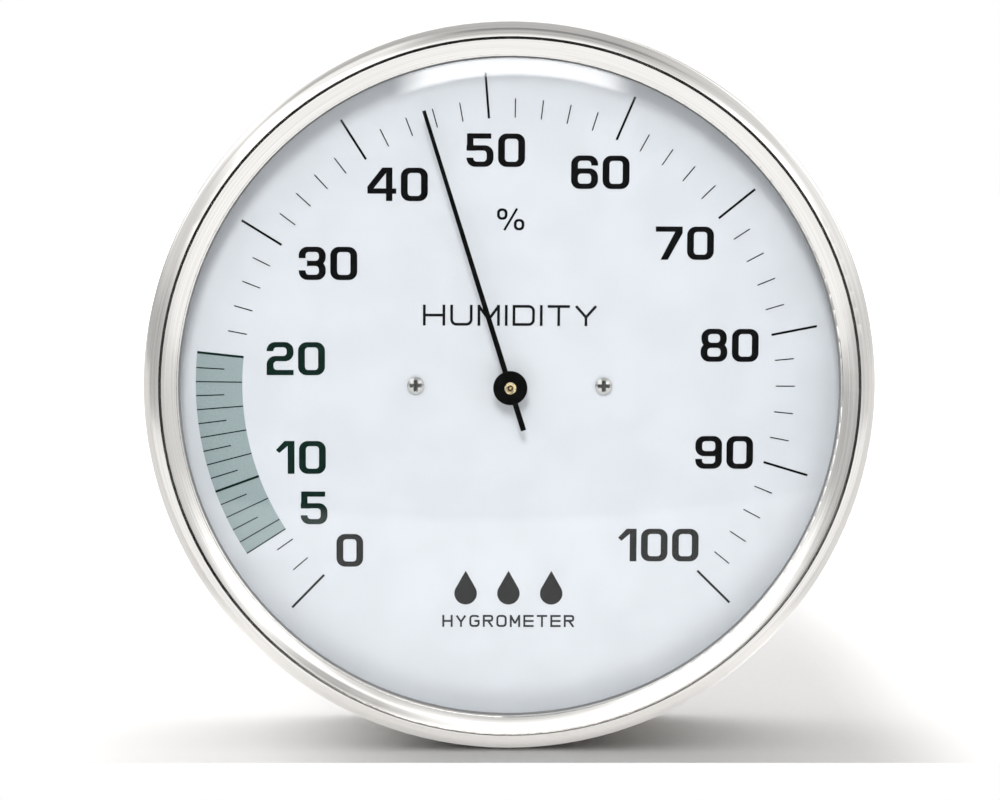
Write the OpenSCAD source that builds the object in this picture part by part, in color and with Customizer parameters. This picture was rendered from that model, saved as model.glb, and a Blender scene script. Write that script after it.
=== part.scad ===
// Wall dial hygrometer: a hair-driven relative humidity gauge in a stainless steel case.
// The dial faces -Y and +Z is up. The origin is the centre of the case's rear rim plane.
// Pieces are drawn face on, x to the right, y up and z out from the wall, then stood up.

/* [Case] */
// Outside diameter of the case
case_d = 160; // [156:1:190]
// Depth from the wall to the front of the bezel
case_depth = 40; // [40:1:50]
// Width of the bezel band inside the shadow groove
bezel_w = 3.6; // [3.2:0.1:4.4]
// Thickness of the domed cover glass
glass_t = 2; // [1.5:0.1:2.4]
// Depth of the dial face behind the front
dial_recess = 11; // [10.5:0.1:11]

/* [Reading] */
// Relative humidity that the pointer shows, in percent
reading = 45.4; // [0:0.1:100]

/* [Pointer] */
// Diameter of the pointer's hub disc
hub_d = 7.5; // [6:0.1:9]
// Width of the pointer blade at its hub
blade_w = 1.2; // [0.8:0.1:1.6]

/* [Back] */
// Diameter of the keyhole's head hole
keyhole_d = 9; // [8:0.5:10]
// Width of the keyhole's slot
keyhole_slot_w = 4.2; // [3.6:0.1:4.6]
// Number of vent slot places around the back
vent_places = 24; // [12:2:28]

/* [Hidden] */
$fn = 96;

// Case and front stack, measured from the wall plane
case_r = case_d / 2;
front_z = case_depth;
wall_t = 0.8;
shoulder_r = 5;
shoulder_z = front_z - shoulder_r;
groove_w = 0.6;
lip_r = case_r - 3.6;
rear_lip_r = case_r - 2.2;
hem_z = front_z - 2.4;
stack_r = case_r - wall_t - 0.2;
slot_w = 10;
slot_h = 1.2;
slot_places = 6;

bezel_t = 0.6;
bezel_out_r = lip_r - groove_w;
bezel_in_r = bezel_out_r - bezel_w;
bezel_foot_z = front_z - 2.75;
flange_r = case_r - shoulder_r + leg(shoulder_r - wall_t, hem_z - shoulder_z) - 0.1;
crown_r = 8;
crown_in = [bezel_in_r, front_z - 2];
crown_out = [bezel_out_r, front_z - 0.3];
crown_c = arc_centre(crown_in, crown_out, crown_r);
edge_roll_r = 0.4;
edge_roll_x = bezel_in_r + edge_roll_r;
edge_roll_z = crown_c.y + leg(crown_r - edge_roll_r, crown_c.x - edge_roll_x);

dome_r = 800;
dome_fn = 1440;
dome_c = front_z - dome_r;
glass_r = stack_r - 0.2;
gasket_t = 0.5;
gasket_in_r = bezel_in_r - 0.3;
glass_under_z = dome_c + leg(dome_r - glass_t, glass_r);
spacer_t = 1.6;

dial_z = front_z - dial_recess;
dial_t = 0.8;
dial_back_z = dial_z - dial_t;
dial_hole_r = 2.4;
ink_t = 0.05;

// Back of the case
cover_t = 0.8;
cover_z = 2.6;
cover_r = rear_lip_r - 0.4;
cover_step_r = case_r - 16;
cover_floor_z = cover_z + cover_t;
boss_r = 3.2;
boss_c = case_r - 7.5;
boss_top_z = 14;
boss_angles = [30, 150, 270];
pilot_r = 1.35;
cover_shank_r = 1.3;
keyhole_y = 42;
keyhole_run = 8;
vent_w = 2.2;
vent_in_r = 36;
vent_out_r = 49;

// Movement planes
front_plate_z = dial_back_z - 3.8;
rear_plate_z = front_plate_z - 13.4;
plate_t = 1;
rear_top_z = rear_plate_z + plate_t;
pillar_x = 20.7;
pillar_r = 2.5;
screw_bore_depth = 6;
plate_bar_h = 12;
plate_leg_w = 27;
plate_leg_y = -29;
m2_r = 1;
m2_bore_r = 1.03;
head_r = 1.88;
head_h = 1.4;

// Pointer arbor line
arbor_r = 0.75;
seat_r = 0.77;
pivot_r = 0.35;
pivot_bore_r = 0.38;
arbor_bore_r = 0.78;
shoulder_gap = 0.6;
arbor_shoulder_z = rear_top_z + shoulder_gap;
pointer_z = dial_z + 5.1;
pointer_t = 0.4;
hub_t = 0.7;
pointer_len = 63.2 * case_d / 160;
tail_len = 9.8;
tip_w = 0.8;
collet_r = 1.3;
collet_top_z = pointer_z + 1.2;
arbor_tip_r = 0.32;
collet_dish_r = 0.7;

// Gear pair, 12 leaves driving against a 120 tooth circle
gear_module = 0.35;
pinion_teeth = 12;
sector_teeth = 120;
sector_cut_teeth = 13;
pressure = 25;
addendum = 0.9;
dedendum = 1.25;
backlash = 0.05;
flank_steps = 4;
pinion_pitch_r = pinion_teeth * gear_module / 2;
sector_pitch_r = sector_teeth * gear_module / 2;
sector_y = -(pinion_pitch_r + sector_pitch_r);
gear_z = rear_top_z + 8;
sector_t = 1;
rim_in_r = sector_pitch_r - 4;
sector_span = sector_cut_teeth / 2 * 360 / sector_teeth;

// Scale law: degrees clockwise from 12 o'clock for a reading in percent
function dial_cw(v) = v <= 40 ? -136 + 2.585 * v : -32.6 + 2.785 * (v - 40);
mid_cw = (dial_cw(0) + dial_cw(100)) / 2;
pointer_cw = dial_cw(reading);
sector_cw = -(pointer_cw - mid_cw) * pinion_teeth / sector_teeth;
half_swing = (dial_cw(100) - dial_cw(0)) / 2 * pinion_teeth / sector_teeth;

// Hair drive
sector_pivot_r = 0.4;
sector_pivot_bore_r = 0.43;
crank_r = 4;
crank_z = rear_top_z + 0.8;
crank_pin_r = 0.4;
hook_bore_r = 0.43;
crank_pin = [-crank_r * cos(sector_cw), sector_y + crank_r * sin(sector_cw)];
hair_x = -crank_r;
hair_z = rear_top_z + 2.5;
hair_r = 0.6;
ferrule_r = 1.1;
ferrule_bore_r = 0.62;
ferrule_len = 7;
ferrule_fill = 4.9;
anchor_y = 50;
anchor_z = hair_z + 3.5;
lever_t = 1.6;
lever_arm_y = 9;
lever_half_t = 0.8;
lever_bore_r = 0.63;
anchor_pin_r = 0.6;
ear_t = 1;
ear_gap = 1.4;
carrier_w = 16;
carrier_top_y = 64;
carrier_foot_y = 4.5;
calibration_y = anchor_y + lever_arm_y;
calibration_r = 1.25;
calibration_head_r = 2.1;
calibration_head_z = cover_z + 2.4;
calibration_clearance = 0.25;

// Hairspring
spring_turns = 5.5;
spring_in_r = 1.58;
spring_out_r = 7;
spring_t = 0.14;
spring_h = 1;
spring_z = rear_top_z + 4.5;
spring_steps = 20;
stud_r = 0.9;

// Scale and lettering
print_k = case_d / 160;
tick_in_r = 58.8 * print_k;
tick_out_r = 69 * print_k;
minor_out_r = 63 * print_k;
zone_short_r = 62.8 * print_k;
major_w = 0.5;
minor_w = 0.25;
zone_low = 5;
zone_high = 20;
zone_low_nudge = 0.05;
zone_high_nudge = 0.09;
zone_trim = 0.18;
digit_w = 5.9;
digit_h = 7.3;
digit_gap = 1;
one_w = 4.1;
four_w = 6.3;
stem = 1.5;
bar = 1.15;
bowl_r = 1.9;
counter_r = 0.75;
half_h = (digit_h + bar) / 2;

// Geometry helpers
function leg(hypotenuse, side) = sqrt(hypotenuse * hypotenuse - side * side);
function polar(r, a) = [r * sin(a), r * cos(a)];
function arc_centre(p, q, r) =
    let (half = norm(q - p) / 2, along = (q - p) / (2 * half))
    (p + q) / 2 + [along.y, -along.x] * leg(r, half);

module stand() {
    rotate([90, 0, 0])
        children();
}

module slab(z_low, z_high) {
    translate([0, 0, z_low])
        linear_extrude(z_high - z_low)
            children();
}

module rod(r, z_low, z_high, at = [0, 0]) {
    translate([at.x, at.y, z_low])
        cylinder(r = r, h = z_high - z_low);
}

module tube(r_out, r_in, z_low, z_high, at = [0, 0]) {
    translate([at.x, at.y, 0])
        slab(z_low, z_high)
            difference() {
                circle(r_out);
                circle(r_in);
            }
}

module disc_at(r, at) {
    translate(at)
        circle(r);
}

module rod_along_y(r, y_low, y_high, x, z) {
    translate([x, y_low, z])
        rotate([-90, 0, 0])
            cylinder(r = r, h = y_high - y_low);
}

module rod_along_x(r, x_low, x_high, y, z) {
    translate([x_low, y, z])
        rotate([0, 90, 0])
            cylinder(r = r, h = x_high - x_low);
}

// Rounded rectangle with its lower left corner at the origin
module round_rect(w, h, r) {
    translate([r, 0])
        square([w - 2 * r, h]);
    translate([0, r])
        square([w, h - 2 * r]);
    for (x = [r, w - r], y = [r, h - r])
        translate([x, y])
            circle(r);
}

// Straight stroke between two points
module stroke(p, q, t) {
    translate(p)
        rotate(atan2(q.y - p.y, q.x - p.x))
            translate([0, -t / 2])
                square([norm(q - p), t]);
}

// Cheese-head screw pointing towards +z, with its head below the origin
module screw(shank_r, shank_len, cap_r, cap_h, recess_w, recess_len, recess_depth) {
    difference() {
        union() {
            translate([0, 0, -cap_h])
                rotate_extrude()
                    intersection() {
                        translate([0, cap_r * 1.6])
                            circle(cap_r * 1.6 + 0.001);
                        square([cap_r, cap_h]);
                    }
            cylinder(r = shank_r, h = shank_len);
        }
        for (a = [0, 90])
            rotate(a)
                translate([-recess_len / 2, -recess_w / 2, -cap_h - 1])
                    cube([recess_len, recess_w, recess_depth + 1]);
    }
}

// Front stack
module case_section() {
    translate([case_r - wall_t, 0])
        square([wall_t, shoulder_z]);
    intersection() {
        translate([case_r - shoulder_r, shoulder_z])
            difference() {
                circle(shoulder_r);
                circle(shoulder_r - wall_t);
            }
        translate([lip_r, shoulder_z])
            square([case_r - lip_r, shoulder_r]);
    }
    intersection() {
        translate([lip_r, hem_z])
            square([wall_t, front_z - hem_z]);
        disc_at(shoulder_r, [case_r - shoulder_r, shoulder_z]);
    }
    translate([rear_lip_r, 0])
        square([case_r - rear_lip_r, wall_t]);
}

module case_shell() {
    color("lightgray")
        stand()
            difference() {
                rotate_extrude()
                    case_section();
                for (i = [0:slot_places - 1])
                    rotate((i + 0.5) * 360 / slot_places)
                        translate([rear_lip_r, -slot_w / 2, wall_t + 0.2])
                            cube([case_r - rear_lip_r + 1, slot_w, slot_h]);
            }
}

module bezel_section() {
    difference() {
        intersection() {
            disc_at(crown_r, crown_c);
            translate([edge_roll_x, bezel_foot_z])
                square([bezel_out_r - edge_roll_x, front_z]);
        }
        intersection() {
            disc_at(crown_r - bezel_t, crown_c);
            translate([bezel_in_r + bezel_t, 0])
                square([bezel_w - 2 * bezel_t, front_z]);
        }
    }
    disc_at(edge_roll_r, [edge_roll_x, edge_roll_z]);
    translate([bezel_in_r, bezel_foot_z])
        square([bezel_t, edge_roll_z - bezel_foot_z]);
    translate([bezel_out_r - bezel_t, hem_z - bezel_t])
        square([flange_r - bezel_out_r + bezel_t, bezel_t]);
}

module bezel_ring() {
    color("whitesmoke")
        stand()
            rotate_extrude()
                bezel_section();
}

// Band between two concentric domes, from one radius out to another
module dome_section(ball_out, ball_in, r_low, r_high) {
    intersection() {
        translate([0, dome_c])
            difference() {
                circle(ball_out, $fn = dome_fn);
                circle(ball_in, $fn = dome_fn);
            }
        translate([r_low, dial_z])
            square([r_high - r_low, dial_recess + 5]);
    }
}

module glass_gasket() {
    color("dimgray")
        stand()
            rotate_extrude()
                dome_section(dome_r + gasket_t, dome_r, gasket_in_r, glass_r);
}

module cover_glass() {
    color("lightcyan", 0.3)
        stand()
            rotate_extrude()
                dome_section(dome_r, dome_r - glass_t, 0, glass_r);
}

module spacer_ring() {
    color("white")
        stand()
            tube(glass_r, glass_r - spacer_t, dial_z, glass_under_z);
}

module dial_plate() {
    color("aliceblue")
        stand()
            slab(dial_back_z, dial_z)
                difference() {
                    circle(glass_r);
                    circle(dial_hole_r);
                    for (s = [-1, 1])
                        disc_at(m2_bore_r + 0.1, [s * pillar_x, 0]);
                }
}

module dial_support_ring() {
    wall_r = stack_r - 2;
    foot_r = cover_r + 0.2;
    ledge_r = case_r - 6.5;
    ledge_top_z = cover_floor_z + 1.6;
    web_w = 4;
    boss_z = cover_floor_z + 0.5;
    color("gainsboro")
        stand()
            difference() {
                union() {
                    rotate_extrude()
                        polygon([
                            [foot_r, wall_t], [stack_r, wall_t],
                            [stack_r, dial_back_z], [wall_r, dial_back_z],
                            [wall_r, ledge_top_z], [ledge_r, ledge_top_z],
                            [ledge_r, cover_floor_z], [foot_r, cover_floor_z]
                        ]);
                    for (a = boss_angles)
                        rotate(a) {
                            rod(boss_r, boss_z, boss_top_z, [boss_c, 0]);
                            translate([boss_c, -web_w / 2, boss_z])
                                cube([wall_r - boss_c + 0.5, web_w, boss_top_z - boss_z]);
                        }
                }
                for (a = boss_angles)
                    rotate(a)
                        rod(pilot_r, cover_floor_z - 1, boss_top_z - 1.5, [boss_c, 0]);
            }
}

// Dial artwork
module bowl(w, h, sx = stem, sy = bar, ro = bowl_r, ri = counter_r) {
    difference() {
        round_rect(w, h, ro);
        translate([sx, sy])
            round_rect(w - 2 * sx, h - 2 * sy, ri);
    }
}

module digit_0() {
    bowl(digit_w, digit_h);
}

module digit_1() {
    translate([one_w - stem, 0])
        square([stem, digit_h]);
    polygon([[0, 5.3], [0.75, 4.6], [one_w - stem, 6.2], [one_w - stem, digit_h], [1.9, digit_h]]);
}

module digit_2() {
    difference() {
        translate([0, digit_h - half_h])
            bowl(digit_w, half_h);
        translate([-1, digit_h - half_h - 1])
            square([digit_w / 2 + 1, 1 + 2.2]);
    }
    difference() {
        bowl(digit_w, half_h);
        translate([digit_w / 2, bar])
            square([digit_w, half_h - bar - bar]);
        translate([digit_w / 2, bar])
            square([digit_w, half_h]);
    }
    translate([digit_w / 2 - 0.3, half_h - bar])
        square([0.6, bar]);
    square([digit_w, bar]);
    square([stem, half_h / 2]);
}

module digit_3() {
    for (y = [0, digit_h - half_h])
        difference() {
            translate([0, y])
                bowl(digit_w, half_h);
            translate([-1, half_h / 2 + 0.25 * y])
                square([2.8, y > 0 ? 1.9 : half_h / 2 + 1]);
            translate([-1, y > 0 ? digit_h - half_h - 0.5 : 2.2])
                square([2.6, y > 0 ? 2.2 : 2]);
        }
}

module digit_4() {
    post_x = four_w - stem - 0.75;
    bar_y = 1.6;
    diagonal_y = 3.15;
    difference() {
        union() {
            translate([post_x, 0])
                square([stem - 0.1, digit_h]);
            translate([0, bar_y])
                square([four_w, bar]);
            polygon([
                [0, bar_y], [0, diagonal_y], [post_x - 0.8, digit_h],
                [post_x + stem / 2, digit_h], [post_x + stem / 2, bar_y]
            ]);
        }
        polygon([[1.35, bar_y + bar], [post_x, bar_y + bar], [post_x, digit_h - 1.2]]);
    }
}

module digit_5() {
    foot_h = 4.7;
    difference() {
        bowl(digit_w, foot_h);
        translate([-1, 2])
            square([1 + stem + 0.5, 1.5]);
    }
    translate([0, foot_h - bar])
        square([digit_w / 2, bar]);
    translate([0.1, foot_h - bar])
        square([stem - 0.1, digit_h - foot_h + bar]);
    translate([0.1, digit_h - bar])
        square([digit_w - 0.6, bar]);
}

module digit_6() {
    foot_h = 4.5;
    bowl(digit_w, foot_h);
    difference() {
        bowl(digit_w, digit_h);
        translate([digit_w / 2, -1])
            square([digit_w, digit_h - 1.2]);
    }
    difference() {
        bowl(digit_w, digit_h);
        translate([-1, -1])
            square([digit_w * 0.7, digit_h + 2]);
        translate([-1, -1])
            square([digit_w + 2, digit_h + 1 - 2.1]);
    }
}

module digit_7() {
    translate([0, digit_h - bar])
        square([digit_w, bar]);
    polygon([
        [digit_w, digit_h - 0.2], [digit_w, digit_h - bar - 0.3], [2.7, 0],
        [1.1, 0], [digit_w - stem - 0.2, digit_h - bar - 0.1], [digit_w - stem, digit_h - 0.2]
    ]);
}

module digit_8() {
    bowl(digit_w, half_h);
    translate([0.15, digit_h - half_h])
        bowl(digit_w - 0.3, half_h);
}

module digit(n) {
    if (n == 0) digit_0();
    if (n == 1) digit_1();
    if (n == 2) digit_2();
    if (n == 3) digit_3();
    if (n == 4) digit_4();
    if (n == 5) digit_5();
    if (n == 6) digit_6();
    if (n == 7) digit_7();
    if (n == 8) digit_8();
    if (n == 9)
        translate([digit_w, digit_h])
            rotate(180)
                digit_6();
}

// Digits of a whole number from 0 to 100, and the widths they take
function digits_of(v) = v == 100 ? [1, 0, 0] : v >= 10 ? [floor(v / 10), v % 10] : [v];
function width_of(d) = d == 1 ? one_w : d == 4 ? four_w : digit_w;
function widths_to(ds, n) = n <= 0 ? 0 : widths_to(ds, n - 1) + width_of(ds[n - 1]) + digit_gap;

// Upright number centred at its own radius and angle
module number(v, r, cw) {
    ds = digits_of(v);
    full_w = widths_to(ds, len(ds)) - digit_gap;
    centre = polar(r * print_k, cw);
    translate([centre.x - full_w / 2, centre.y - digit_h / 2])
        for (i = [0:len(ds) - 1])
            translate([widths_to(ds, i), 0])
                digit(ds[i]);
}

module tick(v, r_in, r_out, w) {
    rotate(-dial_cw(v))
        translate([-w / 2, r_in])
            square([w, r_out - r_in]);
}

module percent_sign() {
    w = 6;
    h = 4.8;
    ring_w = 2.3;
    ring_h = 2.5;
    translate([0, h - ring_h])
        bowl(ring_w, ring_h, 0.6, 0.55, 1, 0.5);
    translate([w - ring_w, 0])
        bowl(ring_w, ring_h, 0.6, 0.55, 1, 0.5);
    stroke([1.6, 0], [w - 1.6, h], 0.5);
}

// Every numeral stands upright inside the scale, nudged to clear its tick
NUMBER_PLACES = [
    [0, 50.9, -136.3], [30, 48.1, -56.2], [40, 50.6, -29.3], [50, 51.8, -3.7], [60, 50.9, 22.6],
    [70, 49.6, 50.5], [80, 49.3, 79.4], [90, 49.8, 107.2], [100, 48.6, 136.9]
];
ZONE_NUMBER_PLACES = [[5, 51, -122.4], [10, 48.7, -109.3], [20, 47.4, -83]];

module scale_print() {
    color([0.06, 0.06, 0.07])
        stand()
            slab(dial_z, dial_z + ink_t) {
                for (v = [0, 30, 40, 50, 60, 70, 80, 90, 100])
                    tick(v, tick_in_r, tick_out_r, major_w);
                for (v = [2, 4])
                    tick(v, tick_in_r, minor_out_r, minor_w);
                for (v = [zone_high + 2:2:98])
                    if (v % 10 != 0)
                        tick(v, tick_in_r, minor_out_r, minor_w);
                for (place = NUMBER_PLACES)
                    number(place[0], place[1], place[2]);
                translate([-3, 34.2])
                    percent_sign();
            }
}

module comfort_zone_print() {
    a_low = -dial_cw(zone_low);
    a_high = -dial_cw(zone_high + zone_trim);
    far = tick_out_r * 1.6;
    color([0.6, 0.67, 0.66])
        stand()
            slab(dial_z, dial_z + ink_t)
                intersection() {
                    difference() {
                        circle(tick_out_r);
                        circle(tick_in_r);
                    }
                    polygon([[0, 0], polar(far, -a_low), polar(far, -a_high)]);
                }
}

module comfort_marks_print() {
    color([0.05, 0.2, 0.15])
        stand() {
            slab(dial_z + ink_t, dial_z + 2 * ink_t)
                for (v = [zone_low:zone_high]) {
                    thick = v % 10 == 0;
                    full = v % 2 == 0 || v == zone_low;
                    nudge = v == zone_low ? zone_low_nudge : v == zone_high ? zone_high_nudge : 0;
                    tick(v + nudge, full ? tick_in_r : zone_short_r, tick_out_r, thick ? major_w : minor_w);
                }
            slab(dial_z, dial_z + ink_t)
                for (place = ZONE_NUMBER_PLACES)
                    number(place[0], place[1], place[2]);
        }
}

// Lettering drawn with strokes of thickness t in a box w wide and h high
module letter(c, w, h, t) {
    corner = h * 0.3;
    mid = h / 2;
    if (c == "I")
        square([t, h]);
    if (c == "H" || c == "M" || c == "U" || c == "N")
        for (x = [0, w - t])
            translate([x, c == "U" ? corner : 0])
                square([t, c == "U" ? h - corner : h]);
    if (c == "H")
        translate([0, mid - t / 2])
            square([w, t]);
    if (c == "M") {
        stroke([t / 2, h - t / 2], [w / 2, h * 0.3], t);
        stroke([w - t / 2, h - t / 2], [w / 2, h * 0.3], t);
    }
    if (c == "U")
        difference() {
            bowl(w, h, t, t, corner, corner - t);
            translate([-1, mid])
                square([w + 2, h]);
        }
    if (c == "O")
        bowl(w, h, t, t, corner, corner - t);
    if (c == "G") {
        difference() {
            bowl(w, h, t, t, corner, corner - t);
            translate([w - t - 0.01, mid - t])
                square([t + 1, h * 0.32 + t]);
        }
        translate([w - t, corner])
            square([t, mid - corner + t / 2]);
        translate([w / 2, mid - t / 2])
            square([w / 2, t]);
    }
    if (c == "D") {
        difference() {
            bowl(w, h, t, t, corner, corner - t);
            translate([-1, -1])
                square([1 + w / 2, h + 2]);
        }
        for (y = [0, h - t])
            translate([0, y])
                square([w / 2, t]);
        square([t, h]);
    }
    if (c == "R") {
        loop_h = h * 0.56;
        square([t, h]);
        difference() {
            translate([0, h - loop_h])
                bowl(w, loop_h, t, t, loop_h * 0.4, loop_h * 0.4 - t);
            translate([-1, -1])
                square([1 + w / 2, h + 2]);
        }
        for (y = [h - loop_h, h - t])
            translate([0, y])
                square([w / 2, t]);
        stroke([w * 0.5, h - loop_h + t / 2], [w - t / 2, t * 0.2], t);
        translate([w - t, 0])
            square([t, t * 0.4]);
    }
    if (c == "T") {
        translate([0, h - t])
            square([w, t]);
        translate([w / 2 - t / 2, 0])
            square([t, h]);
    }
    if (c == "E") {
        square([t, h]);
        for (y = [0, mid - t / 2, h - t])
            translate([0, y])
                square([w, t]);
    }
    if (c == "Y") {
        translate([w / 2 - t / 2, 0])
            square([t, h * 0.45]);
        for (s = [0, 1])
            mirror([s, 0])
                translate([s * -w, 0])
                    stroke([w / 2, h * 0.42], [t * 0.4, h - t * 0.3], t);
    }
}

function letter_w(c, w, t) = c == "I" ? t : w;
function run_to(word, n, w, t, gap) =
    n <= 0 ? 0 : run_to(word, n - 1, w, t, gap) + letter_w(word[n - 1], w, t) + gap;

module word_centred(word, y, w, h, t, gap) {
    full_w = run_to(word, len(word), w, t, gap) - gap;
    for (i = [0:len(word) - 1])
        translate([-full_w / 2 + run_to(word, i, w, t, gap), y - h / 2])
            letter(word[i], letter_w(word[i], w, t), h, t);
}

// Plain water drop: a round belly with two straight sides meeting in a point
module drop(r, h) {
    belly = r / (h - r);
    circle(r);
    polygon([
        [-r * sqrt(1 - belly * belly), r * belly],
        [r * sqrt(1 - belly * belly), r * belly],
        [0, h - r]
    ]);
}

module legend_print() {
    drop_r = 2.5;
    drop_h = 7.6;
    color([0.15, 0.15, 0.16])
        stand()
            slab(dial_z, dial_z + ink_t) {
                word_centred("HUMIDITY", 15.5, 4.9, 4.6, 0.6, 1.1);
                for (i = [-1, 0, 1])
                    translate([i * 9.5, -46.4])
                        drop(drop_r, drop_h);
                word_centred("HYGROMETER", -52.6, 2.3, 2.7, 0.44, 0.7);
            }
}

// Back of the case
module pan_screw_at(x, y, z, shank_r, shank_len, cap_r, cap_h) {
    translate([x, y, z])
        screw(shank_r, shank_len, cap_r, cap_h, 0.55, cap_r * 1.25, cap_h * 0.55);
}

module keyhole_shape() {
    disc_at(keyhole_d / 2, [0, keyhole_y]);
    translate([-keyhole_slot_w / 2, keyhole_y])
        square([keyhole_slot_w, keyhole_run]);
    disc_at(keyhole_slot_w / 2, [0, keyhole_y + keyhole_run]);
}

module vent_slot() {
    translate([-vent_w / 2, vent_in_r])
        square([vent_w, vent_out_r - vent_in_r]);
    for (y = [vent_in_r, vent_out_r])
        disc_at(vent_w / 2, [0, y]);
}

module back_cover() {
    color("silver")
        stand() {
            slab(cover_z, cover_floor_z)
                difference() {
                    circle(cover_r);
                    circle(cover_step_r - cover_t);
                    for (a = boss_angles)
                        rotate(a)
                            disc_at(1.6, [boss_c, 0]);
                }
            slab(cover_floor_z, cover_floor_z + cover_t)
                difference() {
                    circle(cover_step_r);
                    keyhole_shape();
                    disc_at(2.6, [hair_x, calibration_y]);
                    for (i = [1:vent_places - 1])
                        rotate(i * 360 / vent_places)
                            vent_slot();
                }
        }
}

module back_cover_screws() {
    color("silver")
        stand()
            for (a = boss_angles)
                rotate(a)
                    pan_screw_at(boss_c, 0, cover_z, cover_shank_r, 9, 2.7, 1.7);
}

// Fasteners and frame of the movement
module dial_screws() {
    color("silver")
        stand()
            for (s = [-1, 1])
                translate([s * pillar_x, 0, dial_z])
                    rotate([180, 0, 0])
                        screw(m2_r, 10.4, head_r, head_h, 0.9, 2.6, 0.9);
}

module dial_spacers() {
    color("goldenrod")
        stand()
            for (s = [-1, 1])
                tube(pillar_r, m2_bore_r, front_plate_z + plate_t, dial_back_z, [s * pillar_x, 0]);
}

module plate_shape() {
    translate([-pillar_x, -plate_bar_h / 2])
        square([2 * pillar_x, plate_bar_h]);
    for (s = [-1, 1])
        disc_at(plate_bar_h / 2, [s * pillar_x, 0]);
    translate([-plate_leg_w / 2, plate_leg_y])
        round_rect(plate_leg_w, -plate_leg_y, 3);
}

module plate_holes(centre_r) {
    circle(centre_r);
    disc_at(1.62, [0, sector_y]);
    for (s = [-1, 1])
        disc_at(m2_bore_r, [s * pillar_x, 0]);
}

module front_plate() {
    color("khaki")
        stand()
            slab(front_plate_z, front_plate_z + plate_t)
                difference() {
                    plate_shape();
                    plate_holes(2.02);
                }
}

module stop_place(s) {
    reach = sector_pitch_r - 2.5;
    stop_a = half_swing + sector_span + 0.6 + 2.4;
    translate([reach * sin(s * stop_a), sector_y + reach * cos(stop_a)])
        children();
}

module rear_plate() {
    color("khaki")
        stand()
            slab(rear_plate_z, rear_top_z)
                difference() {
                    union() {
                        plate_shape();
                        translate([-carrier_w / 2, 0])
                            round_rect(carrier_w, 16, 2);
                    }
                    plate_holes(1.62);
                    disc_at(0.51, [spring_out_r + stud_r + spring_t / 2, 0]);
                    for (y = [7, 13])
                        disc_at(0.82, [0, y]);
                    for (s = [-1, 1])
                        stop_place(s)
                            circle(0.77);
                }
}

module stop_pins() {
    color("silver")
        stand()
            for (s = [-1, 1])
                stop_place(s)
                    rod(0.75, rear_plate_z, gear_z + 2.5);
}

module movement_pillars() {
    color("goldenrod")
        stand()
            for (s = [-1, 1])
                translate([s * pillar_x, 0])
                    difference() {
                        rod(pillar_r, rear_top_z, front_plate_z);
                        rod(m2_bore_r, rear_top_z - 1, rear_top_z + screw_bore_depth);
                        rod(m2_bore_r, front_plate_z - screw_bore_depth, front_plate_z + 1);
                    }
}

module rear_plate_screws() {
    color("silver")
        stand()
            for (s = [-1, 1])
                pan_screw_at(s * pillar_x, 0, rear_plate_z, m2_r, plate_t + 5, head_r, head_h);
}

module front_bush() {
    color("goldenrod")
        stand() {
            tube(3, arbor_bore_r, front_plate_z - 0.6, front_plate_z);
            tube(2, arbor_bore_r, front_plate_z, front_plate_z + 3);
        }
}

module rear_bush() {
    color("goldenrod")
        stand() {
            tube(2.4, pivot_bore_r, rear_top_z, rear_top_z + 0.4);
            tube(1.6, pivot_bore_r, rear_plate_z - 0.4, rear_top_z);
        }
}

module sector_bushes() {
    color("goldenrod")
        stand() {
            tube(2.4, sector_pivot_bore_r, rear_top_z, rear_top_z + 0.4, [0, sector_y]);
            tube(1.6, sector_pivot_bore_r, rear_plate_z - 0.4, rear_top_z, [0, sector_y]);
            tube(2.4, sector_pivot_bore_r, front_plate_z - 0.4, front_plate_z, [0, sector_y]);
            tube(1.6, sector_pivot_bore_r, front_plate_z, front_plate_z + plate_t + 0.4, [0, sector_y]);
        }
}

// Pointer line
module pointer_arbor() {
    color("goldenrod")
        stand() {
            rod(pivot_r, rear_plate_z - 0.3, arbor_shoulder_z);
            rod(arbor_r, arbor_shoulder_z, pointer_z - 1);
            rod(arbor_tip_r, pointer_z - 1, collet_top_z - 0.15);
        }
}

// Involute gear teeth, in degrees of half thickness at a radius
function involute(a) = tan(a) * 180 / PI - a;
function tooth_half(n, r) =
    let (pitch_r = n * gear_module / 2, base_r = pitch_r * cos(pressure), at = max(r, base_r))
    90 / n - backlash / 2 / pitch_r * 180 / PI + involute(pressure) - involute(acos(base_r / at));
function root_of(n) = n * gear_module / 2 - dedendum * gear_module;
function tip_of(n) = n * gear_module / 2 + addendum * gear_module;
function flank_r(n, k) =
    let (low = max(root_of(n), n * gear_module / 2 * cos(pressure)))
    low + (tip_of(n) - low) * k / flank_steps;
function tooth(n, a) = concat(
    [polar(root_of(n), a - tooth_half(n, root_of(n)))],
    [for (k = [0:flank_steps]) polar(flank_r(n, k), a - tooth_half(n, flank_r(n, k)))],
    [for (k = [flank_steps:-1:0]) polar(flank_r(n, k), a + tooth_half(n, flank_r(n, k)))],
    [polar(root_of(n), a + tooth_half(n, root_of(n)))]
);

module pinion() {
    gap_up = 180 / pinion_teeth;
    color("gold")
        stand()
            rotate(-(pointer_cw - mid_cw))
                slab(gear_z - 1, gear_z + 2)
                    difference() {
                        polygon([
                            for (i = [0:pinion_teeth - 1])
                                each tooth(pinion_teeth, 180 + gap_up + i * 360 / pinion_teeth)
                        ]);
                        circle(seat_r);
                    }
}

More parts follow.
